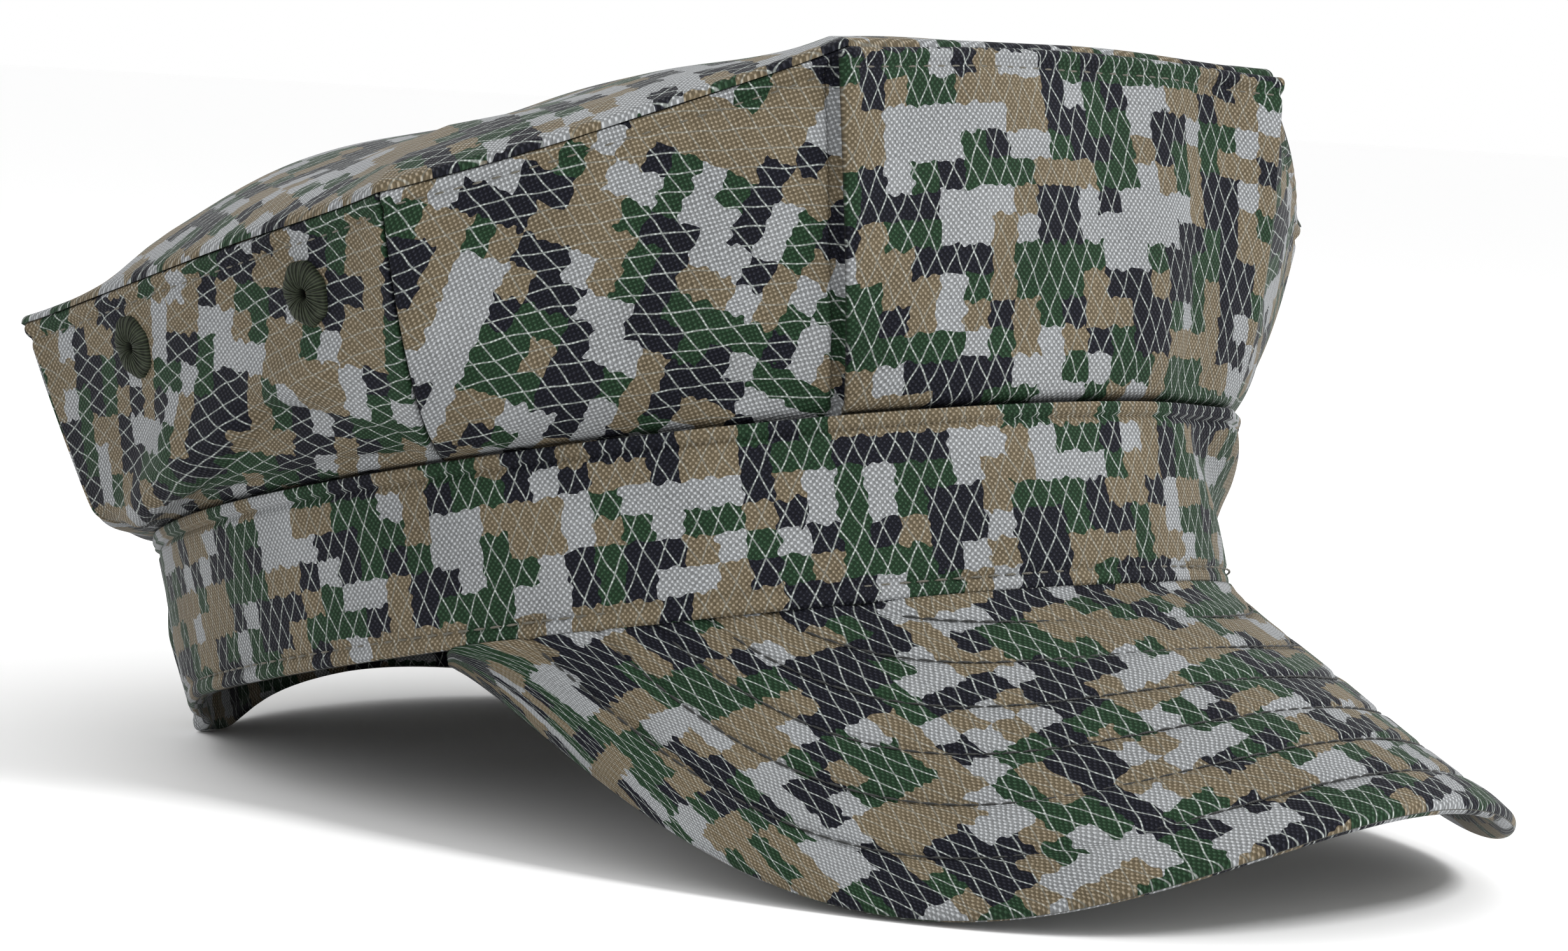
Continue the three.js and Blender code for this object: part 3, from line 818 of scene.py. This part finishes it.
def puckers(x, pitch, wander):
    """Uneven gathers along a seam: a sine whose phase follows a longer sine."""
    return np.sin(x * 2.0 * math.pi / pitch + 2.0 * np.sin(x / wander))


BAND_COLUMNS = 720
BAND_ROWS = 52
BAND_CUT = (620.0, 31.0, 18600.0)
BAND_PRINT = (0.0, (900.0, 150.0))
BAND_BACK_LENGTH = 315.0
HEM_ALLOWANCE = 3.0


def band_relief(share, x):
    """Band's face in mm over its plain oval: welt and groove at the top, hem groove, folds, ripples."""
    y = share * BAND_HEIGHT
    down = BAND_HEIGHT - y
    from_middle = np.abs(down - WELT_HEIGHT / 2.0) / (WELT_HEIGHT / 2.0)
    relief = 0.5 * np.sqrt(np.clip(1.0 - from_middle**6, 0.0, 1.0))
    relief += groove(down - WELT_HEIGHT - 0.35, 0.4, 0.9) + groove(down - 1.3, 0.25, 0.25)
    relief += groove(y - HEM_RISE, 0.6, 0.5)
    relief += folds_of("band", x, y) + ripples(x, y, 11, 46.0, 0.65)
    relief += 0.10 * puckers(x, 6.5, 17.0) * bell((y - HEM_RISE) / 2.5)
    return relief - rolled(y, 0.9)


def band_grid():
    """Angles, shares of the height, cloth lengths and relief of the band's outer side.

    The relief is the same all over the back seam, and fades to its own on both sides.
    """
    angles, shares = np.meshgrid(np.linspace(-180.0, 180.0, BAND_COLUMNS + 1), gathered(BAND_ROWS))
    steps = np.linalg.norm(np.diff(band_point(angles[0], 0.5), axis=0), axis=-1)
    run = np.concatenate(((0.0,), np.cumsum(steps)))
    x = np.broadcast_to(run - run[BAND_COLUMNS // 2], angles.shape)
    at_back = band_relief(shares, np.full(shares.shape, BAND_BACK_LENGTH))
    relief = blend(at_back, band_relief(shares, x), soft_step(176.0, 170.0, np.abs(angles)))
    return angles, shares, x, relief


def make_band():
    """The band, an oval ring of doubled cloth with relief on its outer side. Gives the hem's path."""
    angles, shares, x, relief = band_grid()
    outer = band_point(angles, shares, relief)
    inner = band_point(angles, shares, -BAND_THICKNESS + 0.4 * np.clip(relief, -1.5, 1.5))
    y = shares * BAND_HEIGHT
    prints = turned_print(loop_of(x, x), loop_of(y, y - BAND_HEIGHT - HEM_ALLOWANCE), *BAND_PRINT)
    mesh = closed_mesh("cap_band", loop_of(outer, inner)[:, :-1], prints, True)
    add_cloth(mesh, "band", *BAND_CUT)
    return [(band_point(angles[0], HEM_RISE / BAND_HEIGHT, -0.38), band_normal(angles[0]))]


PANEL_COLUMNS = 132
PANEL_ROWS = 76
PANEL_ALLOWANCE = 1.02
# Overlap of a panel on its neighbours as a share of its width, and lift in mm, front and other panels
FRONT_LAP, FRONT_LIFT = 0.022, 2.0
SIDE_LAP, SIDE_LIFT = -0.0015, 0.0
LAP_WIDTH = 2.1
LAP_DIP = 3.2


def panel_relief(name, x, y, lift):
    """Panel's face in mm over the plain wall: rolled seams, topstitch groove, folds and ripples.

    The side panels dip beside the front panel, which laps over them with a crisp edge.
    """
    left = x - x[:, :1]
    right = x[:, -1:] - x
    down = y[-1:] - y
    seam = np.minimum(left, right)
    seed = len(name) * 7 + sum(map(ord, name))
    relief = folds_of(name, x, y - 5.0) * soft_step(0.0, 6.0, y - 5.0)
    relief += ripples(x, y, seed, 42.0, 0.85) * soft_step(4.0, 14.0, y)
    relief *= soft_step(0.0, 9.0, seam) * soft_step(0.0, 5.0, down)
    relief += groove(down - TOPSTITCH_DROP, 0.75, 0.5) + 0.25 * bell((down - 1.2) / 0.9)
    relief -= rolled(seam, 0.5 if lift else 1.1) + rolled(down, 0.8)
    if name.startswith("side_front"):
        lapped = right if name.endswith("right") else left
        relief += groove(lapped - LAP_WIDTH - 0.1, 0.8, LAP_DIP) * soft_step(0.0, 4.0, down)
    return relief + 0.14 * puckers(x, 7.3, 13.0) * bell((down - 5.0) / 4.0) + lift


def make_panel(name, side, turn, offset):
    """One panel of the wall, from its tucked seam to its rolled edge. Gives its topstitch's path."""
    lap, lift = (FRONT_LAP, FRONT_LIFT) if name == "front_panel" else (SIDE_LAP, SIDE_LIFT)
    u = blend(side - lap, side + 1.0 + lap, gathered(PANEL_COLUMNS))
    up = np.concatenate(((-1.0, -0.5, 0.0), gathered(PANEL_ROWS - 3, 0.012, 1.0)))
    us, ups = np.meshgrid(u, up)
    base = wall_point(us, ups)
    direction = wall_direction(us, ups)
    x, y = cloth_lengths(base)
    swell = soft_step(0.0, 0.12, ups)
    outer = base + direction * (panel_relief(name, x, y, lift) * swell)[..., None]
    inner = base + direction * (lift * swell - CLOTH_THICKNESS)[..., None]
    inner[-1, :, 2] = outer[-1, :, 2]
    prints = turned_print(loop_of(x, x), loop_of(y, y), turn, offset)
    mesh = closed_mesh("cap_" + name, loop_of(outer, inner), prints, False)
    width, height = float(np.ptp(x[-1])), float(y[-1].max())
    add_cloth(mesh, name, width * PANEL_ALLOWANCE, height * PANEL_ALLOWANCE, surface_area(base))
    row = int(np.argmin(np.abs(y[-1].mean() - y.mean(1) - TOPSTITCH_DROP)))
    sewn = slice(4, -4)
    return outer[row, sewn] - direction[row, sewn] * 0.02, direction[row, sewn]


TOP_COLUMNS_PER_SIDE = 48
TOP_ROWS = 90
TOP_CUT = (218.0, 212.0, 37000.0)
TOP_PRINT = (62.0, (1200.0, 300.0))
TOP_SINK = 0.2


def slowing(count):
    """Numbers from 0 to 1 that draw together towards 1: sines of an evenly parted quarter turn."""
    return np.sin(np.linspace(0.0, math.pi / 2.0, count))


def make_top():
    """The top: eight domed sectors in one cloth, slack in the middle and rolled over at the edge."""
    u = np.linspace(0.0, SIDES, TOP_COLUMNS_PER_SIDE * SIDES + 1)
    us, shares = np.meshgrid(u, slowing(TOP_ROWS))
    base = top_point(us, shares)
    _, rim, _, _ = crown_station(us)
    down = (1.0 - shares) * np.linalg.norm(rim - TOP_CENTRE, axis=-1)
    x, y = base[..., 0], base[..., 1]
    slack = ripples(x, y, 5, 95.0, 2.2) + ripples(x, y, 8, 46.0, 0.8)
    relief = slack * soft_step(2.0, 34.0, down) + 0.9 * soft_step(0.0, 9.0, down)
    relief += 0.35 * np.sin(us * 4.0 * math.pi) * bell((down - 9.0) / 7.0)
    outer, inner = base.copy(), base.copy()
    outer[..., 2] += SEAM_GAP + CLOTH_THICKNESS - TOP_SINK + relief - rolled(down, 1.4)
    inner[..., 2] += SEAM_GAP - TOP_SINK + relief * 0.9
    _, run = cloth_lengths(base)
    level = base - TOP_CENTRE
    spoke = run / np.maximum(np.hypot(level[..., 0], level[..., 1]), 1e-6)
    x, y = level[..., 0] * spoke, level[..., 1] * spoke
    prints = turned_print(loop_of(x, x), loop_of(y, y), *TOP_PRINT)
    mesh = closed_mesh("cap_top", loop_of(outer, inner)[:, :-1], prints, True, rows_closed=False)
    weld(mesh)
    add_cloth(mesh, "crown_top", *TOP_CUT)


def weld(mesh):
    """Merges the vertices that meet in the middle of a round grid, and drops the faces that vanish."""
    work = bmesh.new()
    work.from_mesh(mesh)
    bmesh.ops.remove_doubles(work, verts=work.verts, dist=1e-7)
    work.to_mesh(mesh)
    work.free()
    mesh.update()


PEAK_COLUMNS = 340
PEAK_ROWS = 116
PEAK_EDGE_ROWS = 17
PEAK_EDGE_SHARE = 0.95
PEAK_CUT = (245.0, 74.0)
PEAK_PRINT = (-12.0, (200.0, 1100.0))
PEAK_UNDER_PRINT = 260.0
PEAK_SEAM_RISE = 0.6
PEAK_SEAM_REACH = 0.8
PEAK_STITCH_SINK = 0.5
SHORTEST_SEWN_ROW = 8


def peak_lengths(share):
    """Length of each straight line of the peak, and the sine of the angle it makes with the edge."""
    edge = peak_edge(share)
    line = edge - peak_point(share, 0.0)
    tangent = unit(np.gradient(edge, axis=0))
    slant = np.linalg.norm(np.cross(unit(line), tangent), axis=-1)
    return np.linalg.norm(line, axis=-1), np.maximum(slant, 0.12)


def make_peak():
    """The peak: stiffened cloth with rolled edges. Gives the paths of its sewn rows on both faces.

    Each sewn row keeps its distance from the free edge, and the cloth rises into the seam with the band.
    """
    share = gathered(PEAK_COLUMNS, -PEAK_END_SHARE, PEAK_END_SHARE)
    edge_rows = blend(PEAK_EDGE_SHARE, 1.0, slowing(PEAK_EDGE_ROWS)[1:])
    out = np.concatenate((np.linspace(0.0, PEAK_EDGE_SHARE, PEAK_ROWS), edge_rows))
    shares, outs = np.meshgrid(share, out)
    base = peak_point(shares, outs)
    direction = peak_direction(shares)
    length, slant = peak_lengths(share)
    base[..., 2] += PEAK_SEAM_RISE * bell(outs * length / PEAK_SEAM_REACH)
    inward = (1.0 - outs) * (length * slant)
    x, y = cloth_lengths(base)
    half = PEAK_THICKNESS / 2.0
    depth = np.clip(inward, 0.0, half)
    thick = np.sqrt(np.maximum(half * half - (half - depth) ** 2, 0.0025))
    ends = np.minimum(x - x[:, :1], x[:, -1:] - x)
    thick *= np.clip(np.sqrt(np.clip(ends / 2.0, 0.02, 1.0)), 0.1, 1.0)
    relief = ripples(x, y, 3, 60.0, 0.5) * soft_step(0.0, 12.0, inward) * soft_step(0.0, 10.0, outs * length)
    sewn = sum(groove(inward - row, 0.9, 0.7) for row in SEWN_ROWS_OF_PEAK) + 0.35 * bell((inward - 5.0) / 3.2)
    middle = base - direction * half
    upper = middle + direction * (thick + relief + sewn)[..., None]
    lower = middle - direction * (thick - relief + sewn * 0.8)[..., None]
    prints = turned_print(loop_of(x, x), loop_of(y, y + PEAK_UNDER_PRINT), *PEAK_PRINT)
    mesh = closed_mesh("cap_peak", loop_of(upper, lower), prints, False)
    add_cloth(mesh, "peak", *PEAK_CUT, surface_area(base))
    paths = []
    for row in SEWN_ROWS_OF_PEAK:
        at = 1.0 - row / (length * slant)
        inside = at > 0.03
        if inside.sum() >= SHORTEST_SEWN_ROW:
            line = peak_point(share[inside], at[inside])
            normal = peak_direction(share[inside])
            paths.append((line - normal * PEAK_STITCH_SINK, normal))
            paths.append((line - normal * (PEAK_THICKNESS - PEAK_STITCH_SINK), -normal))
    return paths


def wall_under(u, up, along, upward, frame_u, frame_up):
    """Places on the wall under points of a flat disc, found by a few corrections on its slopes."""
    target = wall_point(u, up) + frame_u * along[..., None] + frame_up * upward[..., None]
    step = 0.02
    slope_u = (wall_point(u + step, up) - wall_point(u - step, up)) / (2.0 * step)
    slope_up = (wall_point(u, up + step) - wall_point(u, up - step)) / (2.0 * step)
    places_u = np.full(along.shape, u)
    places_up = np.full(along.shape, up)
    for _ in range(6):
        miss = target - wall_point(places_u, places_up)
        places_u = places_u + (miss @ slope_u) / (slope_u @ slope_u)
        places_up = places_up + (miss @ slope_up) / (slope_up @ slope_up)
    return places_u, places_up


def make_eyelet(name, u, up):
    """A sewn eyelet: a padded ring of close radial stitches round a small dip that is painted dark as the
    shade of a hole.
    """
    frame_u = unit(wall_point(u + 0.02, up) - wall_point(u - 0.02, up))
    frame_up = np.cross(wall_direction(u, up), frame_u)
    turn = np.linspace(0.0, 2.0 * math.pi, EYELET_COLUMNS)
    ring = np.concatenate((np.linspace(0.0, 1.0, EYELET_ROWS), (1.02,)))
    turns, rings = np.meshgrid(turn, ring)
    wander = 0.35 * np.sin(turns * 5.0 + 1.0) + 0.2 * np.sin(turns * 9.0)
    ridges = np.abs(np.sin((turns * EYELET_THREADS + wander * 3.0 * rings) / 2.0)) ** 0.7
    ragged = 1.0 + 0.03 * np.sin(turns * 7.0 + 0.6) + 0.035 * ridges
    along = blend(EYELET_CENTRE, EYELET_HALF_WIDTH * ragged, rings) * np.cos(turns)
    upward = blend(EYELET_CENTRE, EYELET_HALF_HEIGHT * ragged, rings) * np.sin(turns)
    places_u, places_up = wall_under(u, up, along, upward, frame_u, frame_up)
    base = wall_point(places_u, places_up)
    direction = wall_direction(places_u, places_up)
    pad = np.sqrt(np.clip(1.0 - (np.abs(rings - 0.5) / 0.52) ** 2.4, 0.0, 1.0))
    height = 0.15 + 0.95 * pad + 0.30 * ridges * np.sqrt(np.sin(math.pi * np.clip(rings, 0.02, 0.98)))
    height -= EYELET_HOLE_DEPTH * bell(rings / 0.16)
    upper = base + direction * height[..., None]
    under = base - direction * EYELET_DEPTH
    prints = np.stack((loop_of(turns, turns), loop_of(rings, rings)), -1)
    mesh = closed_mesh("cap_" + name, loop_of(upper, under)[:, :-1], prints, True)
    colour = tuple(bpy.context.scene.cap_settings.eyelet_thread)
    piece = add_piece(mesh, material_named("embroidery_thread", embroidery_material, colour), name)


FLOOR_REACH = 60.0
FLOOR_COLOUR = (0.98, 0.98, 0.98)

# Soft lights: name, place, height of the point aimed at, size, power
LIGHTS = (
    ("key_light", (0.30, -1.15, 1.15), 0.06, 0.4, 17.0),
    ("fill_light", (-1.3, -0.4, 0.8), 0.06, 1.2, 2.0),
    ("back_light", (0.2, 1.3, 1.1), 0.08, 1.0, 4.0),
)

CAMERA_AZIMUTH = -42.41
CAMERA_ELEVATION = 5.01
CAMERA_ROLL = 3.40
CAMERA_DISTANCE = 0.7241
CAMERA_TARGET = (-0.00692, -0.00222, 0.05575)
CAMERA_LENS = 97.14


def add_light(name, place, aim_height, size, power):
    """A square soft light at a place, turned to a point over the middle of the cap."""
    light = bpy.data.lights.new(name, "AREA")
    light.size = size
    light.energy = power
    lamp = bpy.data.objects.new(name, light)
    bpy.context.scene.collection.objects.link(lamp)
    lamp.location = place
    toward = Vector((0.0, 0.0, aim_height)) - Vector(place)
    lamp.rotation_euler = toward.to_track_quat("-Z", "Y").to_euler()


def add_floor():
    """A wide pale floor."""
    mesh = bpy.data.meshes.new("studio_floor")
    corners = [(x * FLOOR_REACH, y * FLOOR_REACH, 0.0) for x, y in ((-1, -1), (1, -1), (1, 1), (-1, 1))]
    mesh.from_pydata(corners, [], [(0, 1, 2, 3)])
    mesh.materials.append(Graph("studio_floor").finish({"Base Color": FLOOR_COLOUR, "Roughness": 0.9}))
    floor = bpy.data.objects.new("studio_floor", mesh)
    bpy.context.scene.collection.objects.link(floor)


def add_camera():
    """The camera, placed round its target by azimuth, elevation, roll and distance."""
    azimuth, elevation, roll = map(math.radians, (CAMERA_AZIMUTH, CAMERA_ELEVATION, CAMERA_ROLL))
    level = math.cos(elevation)
    back = Vector((math.sin(azimuth) * level, -math.cos(azimuth) * level, math.sin(elevation)))
    camera = bpy.data.cameras.new("photo_camera")
    camera.lens = CAMERA_LENS
    camera.sensor_width = 36.0
    camera.clip_start = 0.01
    camera.clip_end = 100.0
    holder = bpy.data.objects.new("photo_camera", camera)
    bpy.context.scene.collection.objects.link(holder)
    turn = (-back).to_track_quat("-Z", "Y").to_matrix().to_4x4() @ Matrix.Rotation(roll, 4, "Z")
    holder.matrix_world = Matrix.Translation(Vector(CAMERA_TARGET) + back * CAMERA_DISTANCE) @ turn
    bpy.context.scene.camera = holder


def make_stage():
    """Pale floor, even background, soft lights and the camera at the photo's angle."""
    add_floor()
    for row in LIGHTS:
        add_light(*row)
    scene = bpy.context.scene
    scene.world = bpy.data.worlds.new("studio")
    scene.world.use_nodes = True
    background = scene.world.node_tree.nodes["Background"]
    background.inputs["Color"].default_value = (1.0, 1.0, 1.0, 1.0)
    background.inputs["Strength"].default_value = 1.0
    scene.view_settings.view_transform = "Standard"
    add_camera()


def colour_setting(name, description, default):
    """A colour that the user can change."""
    return FloatVectorProperty(name=name, description=description, default=default, subtype="COLOR",
                               min=0.0, max=1.0)


def length_setting(name, description, default, low, high):
    """A length in mm that the user can change."""
    description = description + ", in mm"
    return FloatProperty(name=name, description=description, default=default, min=low, max=high)


class CapSettings(bpy.types.PropertyGroup):
    """Colours and sizes that a user of the cap would change."""

    grey: colour_setting("Light grey", "Ground colour of the print", (0.262, 0.272, 0.279))
    tan: colour_setting("Tan", "Second colour of the print", (0.146, 0.116, 0.072))
    green: colour_setting("Green", "Third colour of the print", (0.012, 0.034, 0.015))
    black: colour_setting("Black", "Darkest colour of the print", (0.0050, 0.0055, 0.0105))
    net: colour_setting("Net", "Fine lines over the dark colours", (0.360, 0.390, 0.370))
    cloth_thread: colour_setting("Topstitch thread", "Stitches of the crown and band", (0.105, 0.096, 0.072))
    seam_thread: colour_setting("Seam thread", "Stitches of the peak", (0.012, 0.013, 0.012))
    eyelet_thread: colour_setting("Eyelet thread", "Embroidery of the eyelets", (0.034, 0.042, 0.026))
    cell_width: length_setting("Cell width", "Width of a block of the print", 4.8, 1.0, 20.0)
    cell_height: length_setting("Cell height", "Height of a block of the print", 4.4, 1.0, 20.0)
    net_width: length_setting("Net width", "Width of a diamond of the net", 3.4, 1.0, 20.0)
    net_height: length_setting("Net height", "Height of a diamond of the net", 6.6, 1.0, 20.0)
    weave_pitch: length_setting("Weave pitch", "Width of one repeat of the weave", 0.95, 0.2, 4.0)
    stitch_pitch: length_setting("Stitch pitch", "Distance of two stitches", 3.0, 1.0, 8.0)


class CAP_OT_band(bpy.types.Operator):
    """Adds the band with its hem stitches"""

    bl_idname = "cap.band"
    bl_label = "Band"

    def execute(self, context):
        thread = context.scene.cap_settings.cloth_thread
        add_stitches("cap_band_hem_stitches", make_band(), TOPSTITCH, "topstitch_thread", thread)
        return {"FINISHED"}


class CAP_OT_crown_panels(bpy.types.Operator):
    """Adds the eight wall panels of the crown with their topstitches"""

    bl_idname = "cap.crown_panels"
    bl_label = "Crown panels"

    def execute(self, context):
        paths = [make_panel(*row) for row in PANELS]
        thread = context.scene.cap_settings.cloth_thread
        add_stitches("cap_crown_topstitches", paths, TOPSTITCH, "topstitch_thread", thread)
        return {"FINISHED"}


class CAP_OT_crown_top(bpy.types.Operator):
    """Adds the puffed eight-cornered top"""

    bl_idname = "cap.crown_top"
    bl_label = "Crown top"

    def execute(self, context):
        make_top()
        return {"FINISHED"}


class CAP_OT_peak(bpy.types.Operator):
    """Adds the peak with its sewn rows"""

    bl_idname = "cap.peak"
    bl_label = "Peak"

    def execute(self, context):
        thread = context.scene.cap_settings.seam_thread
        add_stitches("cap_peak_stitches", make_peak(), PEAK_STITCH, "sewing_thread", thread)
        return {"FINISHED"}


class CAP_OT_eyelets(bpy.types.Operator):
    """Adds the four sewn ventilation eyelets"""

    bl_idname = "cap.eyelets"
    bl_label = "Eyelets"

    def execute(self, context):
        for place, along, up in EYELETS:
            make_eyelet(f"eyelet_{place}_left", 1.0 + along, up)
            make_eyelet(f"eyelet_{place}_right", 6.0 - along, up)
        return {"FINISHED"}


class CAP_OT_stage(bpy.types.Operator):
    """Adds the floor, the lights and the camera"""

    bl_idname = "cap.stage"
    bl_label = "Stage"

    def execute(self, context):
        make_stage()
        return {"FINISHED"}


OPERATORS = (CAP_OT_band, CAP_OT_crown_panels, CAP_OT_crown_top, CAP_OT_peak, CAP_OT_eyelets, CAP_OT_stage)


class CAP_PT_sidebar(bpy.types.Panel):
    """Lists the cap's pieces and its settings"""

    bl_idname = "CAP_PT_sidebar"
    bl_label = "Eight-Point Cap"
    bl_space_type = "VIEW_3D"
    bl_region_type = "UI"
    bl_category = "Cap"

    def draw(self, context):
        for operator in OPERATORS:
            self.layout.operator(operator.bl_idname)
        for key in CapSettings.__annotations__:
            self.layout.prop(context.scene.cap_settings, key)


CLASSES = (CapSettings, *OPERATORS, CAP_PT_sidebar)


def register():
    for item in CLASSES:
        bpy.utils.register_class(item)
    bpy.types.Scene.cap_settings = PointerProperty(type=CapSettings)


def unregister():
    del bpy.types.Scene.cap_settings
    for item in reversed(CLASSES):
        bpy.utils.unregister_class(item)


def main():
    """Registers the add-on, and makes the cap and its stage."""
    register()
    bpy.ops.cap.band()
    bpy.ops.cap.crown_panels()
    bpy.ops.cap.crown_top()
    bpy.ops.cap.peak()
    bpy.ops.cap.eyelets()
    bpy.ops.cap.stage()


if __name__ == "__main__":
    main()
